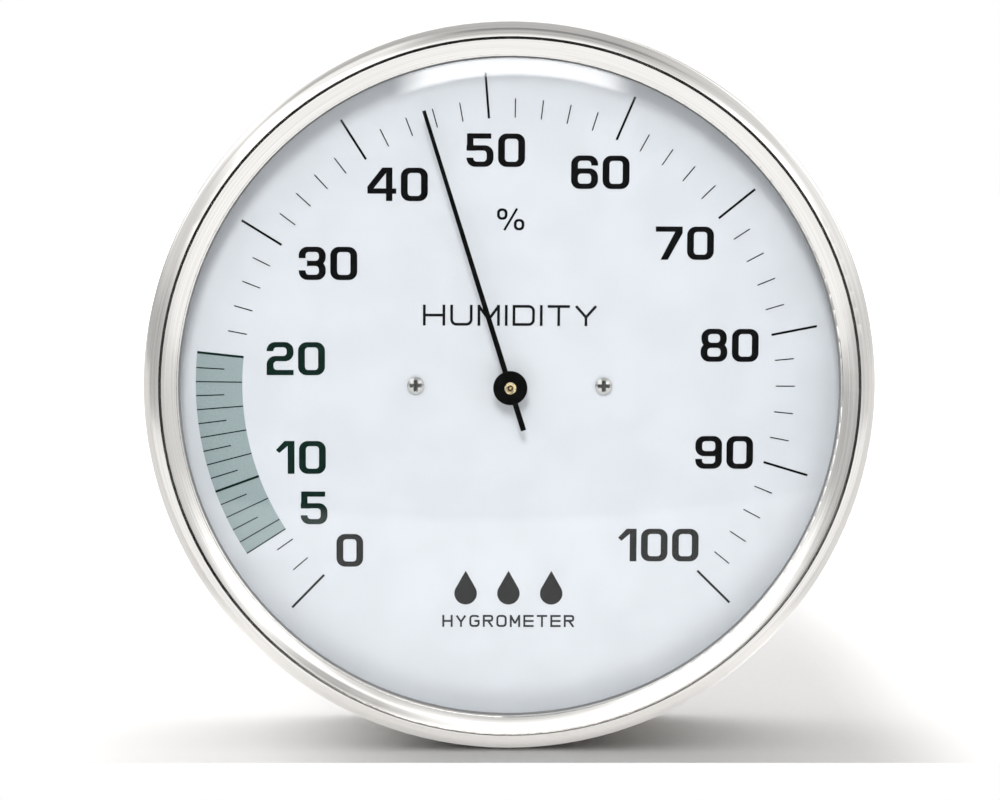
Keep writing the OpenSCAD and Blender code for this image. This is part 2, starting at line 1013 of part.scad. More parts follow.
module pointer() {
    color([0.03, 0.03, 0.03])
        stand()
            rotate(-pointer_cw) {
                slab(pointer_z - 0.05, pointer_z + pointer_t)
                    difference() {
                        polygon([
                            [-blade_w / 2, 0], [-tip_w / 2, pointer_len],
                            [tip_w / 2, pointer_len], [blade_w / 2, 0],
                            [blade_w / 2, -tail_len], [-blade_w / 2, -tail_len]
                        ]);
                        circle(collet_r);
                    }
                translate([0, 0, pointer_z - 0.1])
                    rotate_extrude()
                        translate([collet_r, 0]) {
                            square([hub_d / 2 - collet_r - 0.2, hub_t]);
                            translate([0, 0.2])
                                square([hub_d / 2 - collet_r, hub_t - 0.4]);
                            for (z = [0.2, hub_t - 0.2])
                                disc_at(0.2, [hub_d / 2 - collet_r - 0.2, z]);
                        }
            }
}

module pointer_collet() {
    color("gold")
        stand() {
            difference() {
                union() {
                    rod(2, pointer_z - 0.9, pointer_z - 0.1);
                    rod(collet_r - 0.01, pointer_z - 1.6, collet_top_z);
                }
                rod(seat_r, pointer_z - 2, pointer_z - 0.98);
                rod(arbor_tip_r + 0.02, pointer_z - 1, collet_top_z + 1);
                rod(collet_dish_r, collet_top_z - 0.7, collet_top_z + 1);
            }
        }
}

function spring_point(turn, side) =
    polar(spring_in_r + (spring_out_r - spring_in_r) * turn / spring_turns + side * spring_t / 2,
          90 + 180 * (spring_turns % 1 > 0 ? 1 : 0) + turn * 360);

module hairspring() {
    last = spring_turns * spring_steps;
    color("steelblue")
        stand()
            slab(spring_z, spring_z + spring_h)
                polygon(concat(
                    [for (i = [0:last]) spring_point(i / spring_steps, 1)],
                    [for (i = [last:-1:0]) spring_point(i / spring_steps, -1)]
                ));
}

module hairspring_collet() {
    color("gold")
        stand()
            tube(spring_in_r - spring_t / 2 - 0.01, seat_r, spring_z - 0.3, spring_z + spring_h + 0.3);
}

module hairspring_stud() {
    color("goldenrod")
        stand()
            translate([spring_out_r + stud_r + spring_t / 2 + 0.01, 0]) {
                rod(0.5, rear_plate_z, rear_top_z);
                rod(stud_r, rear_top_z, spring_z + spring_h + 0.5);
            }
}

// Sector line
module at_sector() {
    stand()
        translate([0, sector_y])
            rotate(-sector_cw)
                children();
}

module toothed_sector() {
    half_cut = (sector_cut_teeth - 1) / 2;
    step = 360 / sector_teeth;
    color("gold")
        at_sector() {
            slab(gear_z, gear_z + sector_t) {
                polygon(concat(
                    [for (i = [-half_cut:half_cut]) each tooth(sector_teeth, i * step)],
                    [for (i = [half_cut + 0.5:-1:-half_cut - 0.5]) polar(rim_in_r, i * step)]
                ));
                difference() {
                    union() {
                        circle(3.4);
                        for (s = [-1, 1])
                            rotate(s * sector_span * 0.8)
                                translate([-0.9, 0])
                                    square([1.8, rim_in_r + 0.6]);
                    }
                    circle(seat_r);
                }
            }
            tube(2, seat_r, gear_z - 0.8, gear_z);
        }
}

module sector_arbor() {
    color("silver")
        at_sector() {
            rod(sector_pivot_r, rear_plate_z - 0.3, arbor_shoulder_z);
            rod(arbor_r, arbor_shoulder_z, front_plate_z - 0.8);
            rod(sector_pivot_r, front_plate_z - 0.8, front_plate_z + plate_t + 0.3);
        }
}

module hair_crank() {
    color("gold")
        at_sector() {
            tube(2.2, seat_r, arbor_shoulder_z, crank_z + 2.2);
            slab(crank_z, crank_z + 1)
                difference() {
                    union() {
                        translate([-crank_r, -1])
                            square([crank_r, 2]);
                        disc_at(1, [-crank_r, 0]);
                        circle(1.5);
                    }
                    circle(seat_r);
                }
            rod(crank_pin_r, crank_z + 1, crank_z + 2.8, [-crank_r, 0]);
        }
}

module lower_hair_hook() {
    eye_r = 1.3;
    eye_low = hair_z - 0.5;
    eye_high = hair_z + 0.5;
    shank_y = crank_pin.y + 2.2;
    color("silver")
        stand()
            difference() {
                union() {
                    rod(eye_r, eye_low, eye_high, crank_pin);
                    translate([crank_pin.x - 0.5, crank_pin.y, eye_low])
                        cube([1, 3, eye_high - eye_low]);
                    rod_along_y(ferrule_r, shank_y, shank_y + ferrule_len, crank_pin.x, hair_z);
                }
                rod(hook_bore_r, eye_low - 1, eye_high + 1, crank_pin);
                rod_along_y(
                    ferrule_bore_r, shank_y + ferrule_len - ferrule_fill - 0.1, shank_y + ferrule_len + 1,
                    crank_pin.x, hair_z
                );
            }
}

upper_ferrule_y = anchor_y - lever_half_t - 0.2 - ferrule_len;

module hair_bundle() {
    low_y = crank_pin.y + 2.2 + ferrule_len - ferrule_fill;
    high_y = upper_ferrule_y + ferrule_fill;
    color("tan")
        stand()
            rod_along_y(hair_r, low_y, high_y, hair_x, hair_z);
}

// Hair anchor and calibration
module upper_hair_ferrule() {
    color("silver")
        stand()
            difference() {
                rod_along_y(ferrule_r, upper_ferrule_y, upper_ferrule_y + ferrule_len, hair_x, hair_z);
                rod_along_y(
                    ferrule_bore_r, upper_ferrule_y - 1, upper_ferrule_y + ferrule_fill + 0.1,
                    hair_x, hair_z
                );
            }
}

// Bell crank: its short arm holds the hair and its long arm rests over the calibration screw
module anchor_lever() {
    color("khaki")
        stand()
            translate([hair_x + lever_t / 2, anchor_y, anchor_z])
                rotate([0, -90, 0])
                    slab(0, lever_t)
                        difference() {
                            union() {
                                circle(2);
                                translate([-lever_half_t, 0])
                                    square([2 * lever_half_t, lever_arm_y + 1]);
                                translate([-4.6, -1])
                                    square([4.6, 2 * lever_half_t + 0.2]);
                            }
                            circle(lever_bore_r);
                        }
}

module anchor_bracket() {
    base_z = rear_plate_z;
    ear_top = anchor_z + 2.2;
    color("khaki")
        stand()
            difference() {
                union() {
                    translate([hair_x - ear_gap, anchor_y - 4, base_z])
                        cube([2 * ear_gap, 8, ear_t]);
                    for (x = [hair_x - ear_gap - ear_t, hair_x + ear_gap])
                        translate([x, anchor_y - 4, base_z])
                            cube([ear_t, 8, ear_top - base_z]);
                }
                rod_along_x(anchor_pin_r + 0.01, hair_x - 6, hair_x + 6, anchor_y, anchor_z);
                for (dy = [-2.4, 2.4])
                    rod(0.62, base_z - 1, base_z + 2, [hair_x, anchor_y + dy]);
            }
}

module anchor_pin() {
    reach = ear_gap + ear_t + 0.5;
    color("silver")
        stand()
            rod_along_x(anchor_pin_r, hair_x - reach, hair_x + reach, anchor_y, anchor_z);
}

module hair_carrier() {
    color("khaki")
        stand()
            slab(rear_plate_z - 1, rear_plate_z)
                difference() {
                    translate([-carrier_w / 2, carrier_foot_y])
                        round_rect(carrier_w, carrier_top_y - carrier_foot_y, 2);
                    disc_at(2.52, [hair_x, calibration_y]);
                    for (y = [7, 13])
                        disc_at(0.82, [0, y]);
                    for (dy = [-2.4, 2.4])
                        disc_at(0.62, [hair_x, anchor_y + dy]);
                }
}

module rivet(r, z_low, z_high, at) {
    rod(r, z_low - 0.1, z_high + 0.1, at);
    rod(r * 1.8, z_low - 0.5, z_low, at);
    rod(r * 1.8, z_high, z_high + 0.5, at);
}

module carrier_rivets() {
    color("silver")
        stand() {
            for (y = [7, 13])
                rivet(0.8, rear_plate_z - 1, rear_top_z, [0, y]);
            for (dy = [-2.4, 2.4])
                rivet(0.6, rear_plate_z - 1, rear_plate_z + ear_t, [hair_x, anchor_y + dy]);
        }
}

module calibration_bush() {
    bore_r = calibration_r + 0.05;
    color("goldenrod")
        stand() {
            tube(2.5, bore_r, rear_plate_z - 2, rear_plate_z, [hair_x, calibration_y]);
            tube(3.2, bore_r, rear_plate_z, rear_plate_z + 1.5, [hair_x, calibration_y]);
        }
}

module calibration_screw() {
    tip_z = anchor_z - lever_half_t - calibration_clearance;
    color("silver")
        stand()
            translate([hair_x, calibration_y])
                difference() {
                    union() {
                        rod(calibration_head_r, calibration_head_z, calibration_head_z + 1.4);
                        rod(calibration_r, calibration_head_z + 1.4, tip_z);
                    }
                    translate([-3, -0.3, calibration_head_z - 1])
                        cube([6, 0.6, 1.7]);
                }
}

case_shell();
bezel_ring();
glass_gasket();
cover_glass();
spacer_ring();
dial_plate();
scale_print();
legend_print();
comfort_zone_print();
comfort_marks_print();
dial_support_ring();
back_cover();
back_cover_screws();
dial_screws();
dial_spacers();
front_plate();
movement_pillars();
rear_plate();
rear_plate_screws();
front_bush();
rear_bush();
sector_bushes();
stop_pins();
pointer_arbor();
pinion();
pointer();
pointer_collet();
hairspring();
hairspring_collet();
hairspring_stud();
toothed_sector();
sector_arbor();
hair_crank();
lower_hair_hook();
hair_bundle();
upper_hair_ferrule();
anchor_lever();
anchor_bracket();
anchor_pin();
hair_carrier();
carrier_rivets();
calibration_bush();
calibration_screw();
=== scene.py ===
import math

import bpy
import numpy as np
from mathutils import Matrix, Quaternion, Vector


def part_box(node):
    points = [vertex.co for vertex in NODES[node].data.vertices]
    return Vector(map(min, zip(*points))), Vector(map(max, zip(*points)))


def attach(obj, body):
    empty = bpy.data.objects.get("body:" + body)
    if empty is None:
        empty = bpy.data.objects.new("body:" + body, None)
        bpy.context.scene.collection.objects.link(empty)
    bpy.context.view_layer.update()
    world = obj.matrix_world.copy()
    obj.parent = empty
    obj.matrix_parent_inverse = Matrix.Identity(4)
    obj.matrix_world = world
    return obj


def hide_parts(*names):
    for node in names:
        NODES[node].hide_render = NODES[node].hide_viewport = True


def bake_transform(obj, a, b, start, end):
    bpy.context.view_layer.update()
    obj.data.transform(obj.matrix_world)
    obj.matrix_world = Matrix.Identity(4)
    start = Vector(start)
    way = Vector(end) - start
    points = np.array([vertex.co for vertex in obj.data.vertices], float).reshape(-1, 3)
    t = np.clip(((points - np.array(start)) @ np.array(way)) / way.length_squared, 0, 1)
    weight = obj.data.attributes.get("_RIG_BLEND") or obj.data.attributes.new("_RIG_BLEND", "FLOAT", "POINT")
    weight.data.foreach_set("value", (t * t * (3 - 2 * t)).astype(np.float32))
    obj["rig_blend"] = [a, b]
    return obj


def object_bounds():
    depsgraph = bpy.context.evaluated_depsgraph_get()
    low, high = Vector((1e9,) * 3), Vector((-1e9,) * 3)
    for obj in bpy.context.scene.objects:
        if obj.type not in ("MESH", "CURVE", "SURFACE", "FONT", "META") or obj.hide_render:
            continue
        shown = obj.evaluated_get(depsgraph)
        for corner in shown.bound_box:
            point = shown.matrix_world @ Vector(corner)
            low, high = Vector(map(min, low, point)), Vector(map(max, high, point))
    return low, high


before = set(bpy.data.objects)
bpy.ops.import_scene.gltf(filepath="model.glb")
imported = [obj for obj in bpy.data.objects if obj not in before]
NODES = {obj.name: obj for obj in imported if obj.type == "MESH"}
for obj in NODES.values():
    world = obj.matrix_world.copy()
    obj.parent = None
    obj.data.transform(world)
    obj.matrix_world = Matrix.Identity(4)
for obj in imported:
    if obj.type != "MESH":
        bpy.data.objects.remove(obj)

CAD_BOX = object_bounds()
MM = 0.001


# ---------------------------------------------------------------- materials

class Graph:
    """The node tree of a material or a world, with short names for the nodes used here."""

    def __init__(self, owner):
        owner.use_nodes = True
        self.tree = owner.node_tree
        self.tree.nodes.clear()

    def node(self, kind, **settings):
        made = self.tree.nodes.new(kind)
        for key, value in settings.items():
            setattr(made, key, value)
        return made

    def put(self, socket, value):
        if isinstance(value, bpy.types.NodeSocket):
            self.tree.links.new(value, socket)
        elif isinstance(value, (tuple, list)) and socket.type == "RGBA":
            socket.default_value = (*value, 1)
        else:
            socket.default_value = value

    def math(self, op, a, b=0.0):
        made = self.node("ShaderNodeMath", operation=op)
        self.put(made.inputs[0], a)
        self.put(made.inputs[1], b)
        return made.outputs[0]

    def total(self, first, *others):
        for other in others:
            first = self.math("ADD", first, other)
        return first

    def product(self, first, *others):
        for other in others:
            first = self.math("MULTIPLY", first, other)
        return first

    def rest_of(self, share):
        return self.math("SUBTRACT", 1.0, share)

    def split(self, vector):
        made = self.node("ShaderNodeSeparateXYZ")
        self.put(made.inputs[0], vector)
        return made.outputs

    def fit(self, value, low, high, to_low, to_high):
        """A soft ramp, to_low where value is under low and to_high where it is over high."""
        made = self.node("ShaderNodeMapRange", clamp=True, interpolation_type="SMOOTHSTEP")
        for socket, number in zip(made.inputs, (value, low, high, to_low, to_high)):
            self.put(socket, number)
        return made.outputs[0]


class Shader(Graph):
    """One material. Places are in millimetres in the object's own frame."""

    def __init__(self, name):
        self.material = bpy.data.materials.new(name)
        super().__init__(self.material)
        self.out = self.node("ShaderNodeOutputMaterial")
        place = self.node("ShaderNodeTexCoord").outputs["Object"]
        self.where = self.vector("SCALE", place, 1 / MM)

    def vector(self, op, a, b=(0.0, 0.0, 0.0)):
        made = self.node("ShaderNodeVectorMath", operation=op)
        self.put(made.inputs[0], a)
        self.put(made.inputs["Scale" if op == "SCALE" else 1], b)
        return made.outputs["Value" if op == "LENGTH" else "Vector"]

    def join(self, x, y, z):
        made = self.node("ShaderNodeCombineXYZ")
        for socket, value in zip(made.inputs, (x, y, z)):
            self.put(socket, value)
        return made.outputs[0]

    def noise(self, where, scale, detail, rough, w=None):
        made = self.node("ShaderNodeTexNoise", noise_dimensions="3D" if w is None else "4D")
        self.put(made.inputs["Vector"], where)
        self.put(made.inputs["Scale"], scale)
        self.put(made.inputs["Detail"], detail)
        self.put(made.inputs["Roughness"], rough)
        if w is not None:
            self.put(made.inputs["W"], w)
        return made.outputs[0]

    def stretched_noise(self, stretch, detail, rough):
        """Noise with this many cells to the millimetre along each axis."""
        return self.noise(self.vector("MULTIPLY", self.where, stretch), 1.0, detail, rough)

    def cells(self, where, scale):
        made = self.node("ShaderNodeTexVoronoi")
        self.put(made.inputs["Vector"], where)
        self.put(made.inputs["Scale"], scale)
        return made.outputs["Distance"]

    def mix(self, share, a, b):
        made = self.node("ShaderNodeMix", data_type="RGBA")
        colours = [s for s in made.inputs if s.type == "RGBA"]
        self.put(made.inputs[0], share)
        self.put(colours[0], a)
        self.put(colours[1], b)
        return [s for s in made.outputs if s.type == "RGBA"][0]

    def bump(self, height, depth, under=None):
        """Height 0 to 1 stands for a relief of depth millimetres."""
        made = self.node("ShaderNodeBump")
        self.put(made.inputs["Strength"], 1.0)
        self.put(made.inputs["Distance"], depth * MM)
        self.put(made.inputs["Height"], height)
        if under is not None:
            self.put(made.inputs["Normal"], under)
        return made.outputs[0]

    def round_about(self):
        """(unit direction from the dial's axis, distance from it)."""
        flat = self.vector("MULTIPLY", self.where, (1.0, 0.0, 1.0))
        return self.vector("NORMALIZE", flat), self.vector("LENGTH", flat)

    def principled(self, **values):
        made = self.node("ShaderNodeBsdfPrincipled")
        for key, value in values.items():
            self.put(made.inputs[key.replace("_", " ")], value)
        return made.outputs[0]

    def surface(self, **values):
        self.put(self.out.inputs["Surface"], self.principled(**values))


def shades(colour, *scales):
    """The colour at each brightness."""
    return [tuple(c * s for c in colour) for s in scales]


def turned_metal(name, colour, fine, anisotropic, depth):
    """Metal turned about the dial's axis, with fine marks along the cut, broader bands and smudges."""
    rough = 0.13
    s = Shader(name)
    direction, distance = s.round_about()
    along = s.split(s.where)[1]

    def rings(per_mm, round_scale, detail, broken):
        across = s.join(0.0, s.product(distance, per_mm), 0.0)
        cut = s.vector("ADD", s.vector("SCALE", direction, round_scale), across)
        return s.noise(cut, 1.0, detail, broken, s.product(along, per_mm))

    lines, bands = rings(fine, 1.6, 4.0, 0.62), rings(0.9, 2.6, 2.0, 0.5)
    smudge = s.noise(s.where, 0.07, 4.0, 0.6)
    low, high, band = shades(colour, 0.9, 1.06, 0.8)
    tone = s.mix(s.fit(lines, 0.32, 0.68, 0.0, 1.0), low, high)
    tone = s.mix(s.fit(bands, 0.35, 0.7, 0.0, 0.22), tone, band)
    s.surface(
        Base_Color=tone, Metallic=1.0, Normal=s.bump(lines, depth),
        Roughness=s.total(
            s.fit(lines, 0.3, 0.7, rough * 0.75, rough * 1.25), s.fit(smudge, 0.45, 0.7, 0.0, rough * 0.35)
        ),
        Anisotropic=anisotropic, Tangent=s.vector("CROSS_PRODUCT", direction, (0.0, 1.0, 0.0)),
    )
    return s.material


def rolled_metal(name, colour, rough, along, depth=0.003, wear=0.25):
    """Sheet metal with its rolling lines along one axis of the frame, and handling marks."""
    s = Shader(name)
    lines = s.stretched_noise(tuple(0.05 if axis == along else 5.0 for axis in "xyz"), 4.0, 0.65)
    cloud = s.noise(s.where, 0.12, 4.0, 0.6)
    marks = s.noise(s.vector("MULTIPLY", s.where, (0.7, 1.0, 2.4)), 1.3, 6.0, 0.75)
    low, high, dull, worn = shades(colour, 0.86, 1.05, 0.78, 0.6)
    tone = s.mix(s.fit(lines, 0.3, 0.7, 0.0, 1.0), low, high)
    tone = s.mix(s.fit(cloud, 0.4, 0.7, 0.0, 0.3), tone, dull)
    tone = s.mix(s.fit(marks, 0.62, 0.72, 0.0, wear), tone, worn)
    s.surface(
        Base_Color=tone, Metallic=1.0, Normal=s.bump(cloud, 0.02, s.bump(lines, depth)),
        Roughness=s.total(
            s.fit(lines, 0.3, 0.7, rough * 0.8, rough * 1.2), s.fit(cloud, 0.4, 0.7, 0.0, 0.1)
        ),
    )
    return s.material


def small_metal(name, colour, rough, grain, tarnish, depth=0.004, dish_r=0.0):
    """Small turned or plated parts, with fine grain and tarnish in patches, and painted shade in a round
    dish for the shadow in its hollow.
    """
    s = Shader(name)
    grains = s.noise(s.where, grain, 5.0, 0.65)
    patches = s.noise(s.where, 0.55, 4.0, 0.6)
    # stained is tarnish; the darkest shade, 0.06, is painted shade for the round dish
    low, high, stained, painted_dish_shade = shades(colour, 0.84, 1.06, 0.5, 0.06)
    tone = s.mix(s.fit(grains, 0.3, 0.7, 0.0, 1.0), low, high)
    tone = s.mix(s.fit(patches, 0.45, 0.75, 0.0, tarnish), tone, stained)
    # painted shade: the dish inside dish_r is darkened in the colour itself, standing in for the shadow in
    # the hollow round the arbor's end
    if dish_r:
        tone = s.mix(s.fit(s.round_about()[1], dish_r - 0.04, dish_r + 0.02, 1.0, 0.0), tone, painted_dish_shade)
    s.surface(
        Base_Color=tone, Metallic=1.0, Normal=s.bump(grains, depth),
        Roughness=s.total(
            s.fit(grains, 0.3, 0.7, rough * 0.8, rough * 1.25), s.fit(patches, 0.45, 0.75, 0.0, 0.14)
        ),
    )
    return s.material


def lacquer(name, colour):
    """Sprayed lacquer: a faint orange peel, soft mottling and a few dust nibs."""
    rough = 0.42
    s = Shader(name)
    peel = s.noise(s.where, 1.4, 3.0, 0.5)
    mottle = s.noise(s.where, 0.09, 3.0, 0.5)
    nibs = s.fit(s.cells(s.where, 0.23), 0.0, 0.05, 1.0, 0.0)
    low, high = shades(colour, 0.975, 1.015)
    s.surface(
        Base_Color=s.mix(s.fit(mottle, 0.35, 0.65, 0.0, 1.0), low, high),
        Roughness=s.fit(peel, 0.3, 0.7, rough * 0.85, rough * 1.15),
        Normal=s.bump(peel, 0.004, s.bump(nibs, 0.01)), Coat_Weight=0.25, Coat_Roughness=0.12,
    )
    return s.material


def ink(name, colour, rough=0.5, patchy=0.12):
    """Screen-printed ink: slightly uneven cover with the mesh's fine texture."""
    s = Shader(name)
    cover = s.noise(s.where, 2.2, 5.0, 0.7)
    weave = s.noise(s.where, 14.0, 2.0, 0.5)
    low, high = shades(colour, 1.0 - patchy, 1.0 + patchy)
    s.surface(
        Base_Color=s.mix(s.fit(cover, 0.3, 0.7, 0.0, 1.0), low, high),
        Roughness=s.fit(weave, 0.3, 0.7, rough * 0.85, rough * 1.1),
        Normal=s.bump(weave, 0.003), Specular_IOR_Level=0.12,
    )
    return s.material


def moulded(name, colour, rough, grain, depth, coat=0.0):
    """Moulded plastic or rubber: fine spark-eroded grain and flow marks."""
    s = Shader(name)
    pits = s.noise(s.where, grain, 4.0, 0.7)
    flow = s.stretched_noise((0.12, 0.5, 0.12), 3.0, 0.5)
    low, high = shades(colour, 0.93, 1.05)
    s.surface(
        Base_Color=s.mix(s.fit(flow, 0.35, 0.65, 0.0, 1.0), low, high),
        Roughness=s.fit(pits, 0.3, 0.7, rough * 0.85, rough * 1.12),
        Normal=s.bump(pits, depth), Coat_Weight=coat, Coat_Roughness=0.2,
    )
    return s.material


def gloss_black(name):
    """Black lacquer on metal: hairline scratches and dust."""
    s = Shader(name)
    scratch = s.stretched_noise((9.0, 1.0, 0.6), 4.0, 0.7)
    dust = s.fit(s.noise(s.where, 7.0, 4.0, 0.7), 0.68, 0.76, 0.0, 0.35)
    s.surface(
        Base_Color=s.mix(dust, (0.002, 0.002, 0.002), (0.012, 0.012, 0.013)),
        Roughness=s.fit(scratch, 0.35, 0.7, 0.3, 0.42),
        Normal=s.bump(scratch, 0.0015), Specular_IOR_Level=0.15,
    )
    return s.material


def clear_glass(name):
    """Float glass, pressed to a dome: hardly tinted, with faint wipe marks. Lamps shine through it."""
    s = Shader(name)
    wipes = s.stretched_noise((0.05, 0.05, 0.16), 4.0, 0.6)
    ripple = s.noise(s.where, 0.03, 1.0, 0.4)
    clean, wiped = (0.985, 0.99, 0.988), (0.97, 0.98, 0.976)
    glass = s.principled(
        Base_Color=s.mix(s.fit(wipes, 0.4, 0.7, 0.0, 1.0), clean, wiped),
        Roughness=s.fit(wipes, 0.45, 0.75, 0.0, 0.015), IOR=1.5, Transmission_Weight=1.0,
        Normal=s.bump(ripple, 0.004),
    )
    to_lamps = s.node("ShaderNodeBsdfTransparent")
    s.put(to_lamps.inputs["Color"], (0.97, 0.975, 0.973))
    mixed = s.node("ShaderNodeMixShader")
    seen_by_lamps = s.node("ShaderNodeLightPath").outputs["Is Shadow Ray"]
    for socket, value in zip(mixed.inputs, (seen_by_lamps, glass, to_lamps.outputs[0])):
        s.put(socket, value)
    s.put(s.out.inputs["Surface"], mixed.outputs[0])
    return s.material


def hair_fibre(name):
    """Degreased blond hair: each strand its own shade, with scaly gloss along it."""
    s = Shader(name)
    strand = s.stretched_noise((9.0, 9.0, 0.04), 2.0, 0.5)
    scales = s.stretched_noise((20.0, 20.0, 6.0), 3.0, 0.6)
    dark, fair = (0.16, 0.09, 0.045), (0.42, 0.28, 0.15)
    s.surface(
        Base_Color=s.mix(s.fit(strand, 0.35, 0.65, 0.0, 1.0), dark, fair),
        Roughness=s.fit(scales, 0.3, 0.7, 0.28, 0.45), Normal=s.bump(scales, 0.002), Sheen_Weight=0.2,
    )
    return s.material


STEEL = (0.80, 0.785, 0.76)
FINISHES = {
    "case_steel": (turned_metal, dict(colour=STEEL, fine=5.0, anisotropic=0.55, depth=0.0008)),
    "bezel_steel": (
        turned_metal, dict(colour=shades(STEEL, 1.03)[0], fine=7.0, anisotropic=0.5, depth=0.0006)
    ),
    "gasket_rubber": (moulded, dict(colour=(0.22, 0.22, 0.225), rough=0.62, grain=4.0, depth=0.01)),
    "cover_glass": (clear_glass, {}),
    "white_plastic": (
        moulded, dict(colour=(0.78, 0.79, 0.80), rough=0.45, grain=5.0, depth=0.006, coat=0.1)
    ),
    "dial_white": (lacquer, dict(colour=(0.762, 0.789, 0.835))),
    "black_ink": (ink, dict(colour=(0.003, 0.003, 0.0035))),
    "grey_ink": (ink, dict(colour=(0.008, 0.008, 0.009))),
    "zone_ink": (ink, dict(colour=(0.35, 0.425, 0.435), rough=0.55, patchy=0.07)),
    "green_ink": (ink, dict(colour=(0.004, 0.018, 0.013))),
    "support_plastic": (moulded, dict(colour=(0.47, 0.48, 0.49), rough=0.5, grain=4.0, depth=0.012)),
    "cover_steel": (rolled_metal, dict(colour=(0.66, 0.66, 0.65), rough=0.30, along="x")),
    "screw_steel": (small_metal, dict(colour=(0.74, 0.74, 0.72), rough=0.16, grain=7.0, tarnish=0.2)),
    "brass": (small_metal, dict(colour=(0.80, 0.60, 0.27), rough=0.2, grain=6.0, tarnish=0.25)),
    "brass_plate": (rolled_metal, dict(colour=(0.78, 0.59, 0.28), rough=0.28, along="z", wear=0.3)),
    "pin_steel": (
        small_metal, dict(colour=(0.60, 0.60, 0.60), rough=0.14, grain=9.0, tarnish=0.15, depth=0.002)
    ),
    "arbor_brass": (
        small_metal, dict(colour=(0.76, 0.55, 0.24), rough=0.18, grain=8.0, tarnish=0.3, depth=0.002)
    ),
    # dish_r paints shade into the collet's dish, for the shadow in its hollow
    "collet_brass": (
        small_metal,
        dict(colour=(0.90, 0.75, 0.46), rough=0.2, grain=8.0, tarnish=0.1, depth=0.001, dish_r=0.7),
    ),
    "black_lacquer": (gloss_black, {}),
    "spring_bronze": (
        rolled_metal, dict(colour=(0.62, 0.40, 0.24), rough=0.2, along="x", depth=0.001, wear=0.15)
    ),
    "carrier_steel": (
        rolled_metal, dict(colour=(0.58, 0.59, 0.60), rough=0.33, along="z", depth=0.004, wear=0.3)
    ),
    "hair": (hair_fibre, {}),
}
MATERIALS = {name: finish(name, **settings) for name, (finish, settings) in FINISHES.items()}

for cad in NODES.values():
    for place in cad.material_slots:
        place.material = MATERIALS[place.material.name]


# ------------------------------------------------------------------- pieces

def piece(name, verts, faces, slot_name, smooth=True):
    mesh = bpy.data.meshes.new(name)
    mesh.from_pydata([tuple(v) for v in verts], [], faces)
    mesh.validate()
    mesh.polygons.foreach_set("use_smooth", [smooth] * len(mesh.polygons))
    mesh.materials.append(MATERIALS[slot_name])
    made = bpy.data.objects.new(name, mesh)
    bpy.context.scene.collection.objects.link(made)
    return made


def tube_faces(first, rings, around):
    """The faces of a closed tube whose rings of points follow one another from point first on."""
    faces = []
    for i in range(rings - 1):
        for j in range(around):
            a, b = first + i * around + j, first + i * around + (j + 1) % around
            faces.append((a, b, b + around, a + around))
    ends = [tuple(first + i * around + j for j in range(around)) for i in (0, rings - 1)]
    return [*faces, ends[0][::-1], ends[1]]


def glass_dome():
    """The cover glass with one smooth curve over its crown."""
    low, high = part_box("cover_glass")
    front_r, thick, rings, around = 800 * MM, 2 * MM, 40, 180
    crease = math.radians(40)
    centre = low.y + front_r

    def sweep(dome_r):
        """(distance from the axis, place along it) from the crown to the edge."""
        radii = [high.x * k / rings for k in range(rings + 1)]
        return [(r, centre - math.sqrt(dome_r ** 2 - r ** 2)) for r in radii]

    profile = sweep(front_r) + sweep(front_r - thick)[::-1]
    verts, faces = [(0.0, profile[0][1], 0.0)], []
    for radius, y in profile[1:-1]:
        for i in range(around):
            a = math.tau * i / around
            verts.append((radius * math.sin(a), y, radius * math.cos(a)))
    verts.append((0.0, profile[-1][1], 0.0))
    last = len(verts) - 1
    for i in range(around):
        j = (i + 1) % around
        faces.append((0, 1 + j, 1 + i))
        for k in range(len(profile) - 3):
            a, b = 1 + k * around + i, 1 + k * around + j
            faces.append((a, b, b + around, a + around))
        faces.append((last - around + j, last, last - around + i))
    made = piece("glass_dome", verts, faces, "cover_glass")
    made.data.set_sharp_from_angle(angle=crease)
    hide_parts("cover_glass")
    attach(made, "housing")


def hair_fibres():
    """The hair bundle as single strands, gathered in the two ferrules and a little slack between.
    It stands still. Its ends stop short of the bottoms of the bores, so that the hook slides along it."""
    low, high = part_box("hair_bundle")
    radius = (high.x - low.x) / 2
    slip = Vector((0, 0, 1.3 * MM))
    low, high = low + slip, high - slip
    centre = (low + high) / 2
    strands, steps, sides = 48, 44, 5
    strand_r = 0.045 * MM
    golden = math.radians(137.508)
    twist, wander = 0.5, 0.25
    gathered, slack, uneven = 0.7, 0.2, 0.1
    verts, faces = [], []
    for k in range(strands):
        spread = (radius - 1.6 * strand_r) * math.sqrt((k + 0.5) / strands)
        faces += tube_faces(len(verts), steps + 1, sides)
        for i in range(steps + 1):
            t = i / steps
            ease = math.sin(math.pi * t)
            turn = golden * k + twist * t + wander * ease * math.sin(1.7 * k)
            out = spread * (gathered + ease * (slack + uneven * math.cos(2.3 * k)))
            x, y = centre.x + out * math.cos(turn), centre.y + out * math.sin(turn)
            at = Vector((x, y, low.z + (high.z - low.z) * t))
            for j in range(sides):
                a = math.tau * j / sides
                verts.append(at + strand_r * Vector((math.cos(a), math.sin(a), 0)))
    made = piece("hair_fibres", verts, faces, "hair")
    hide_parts("hair_bundle")
    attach(made, "housing")


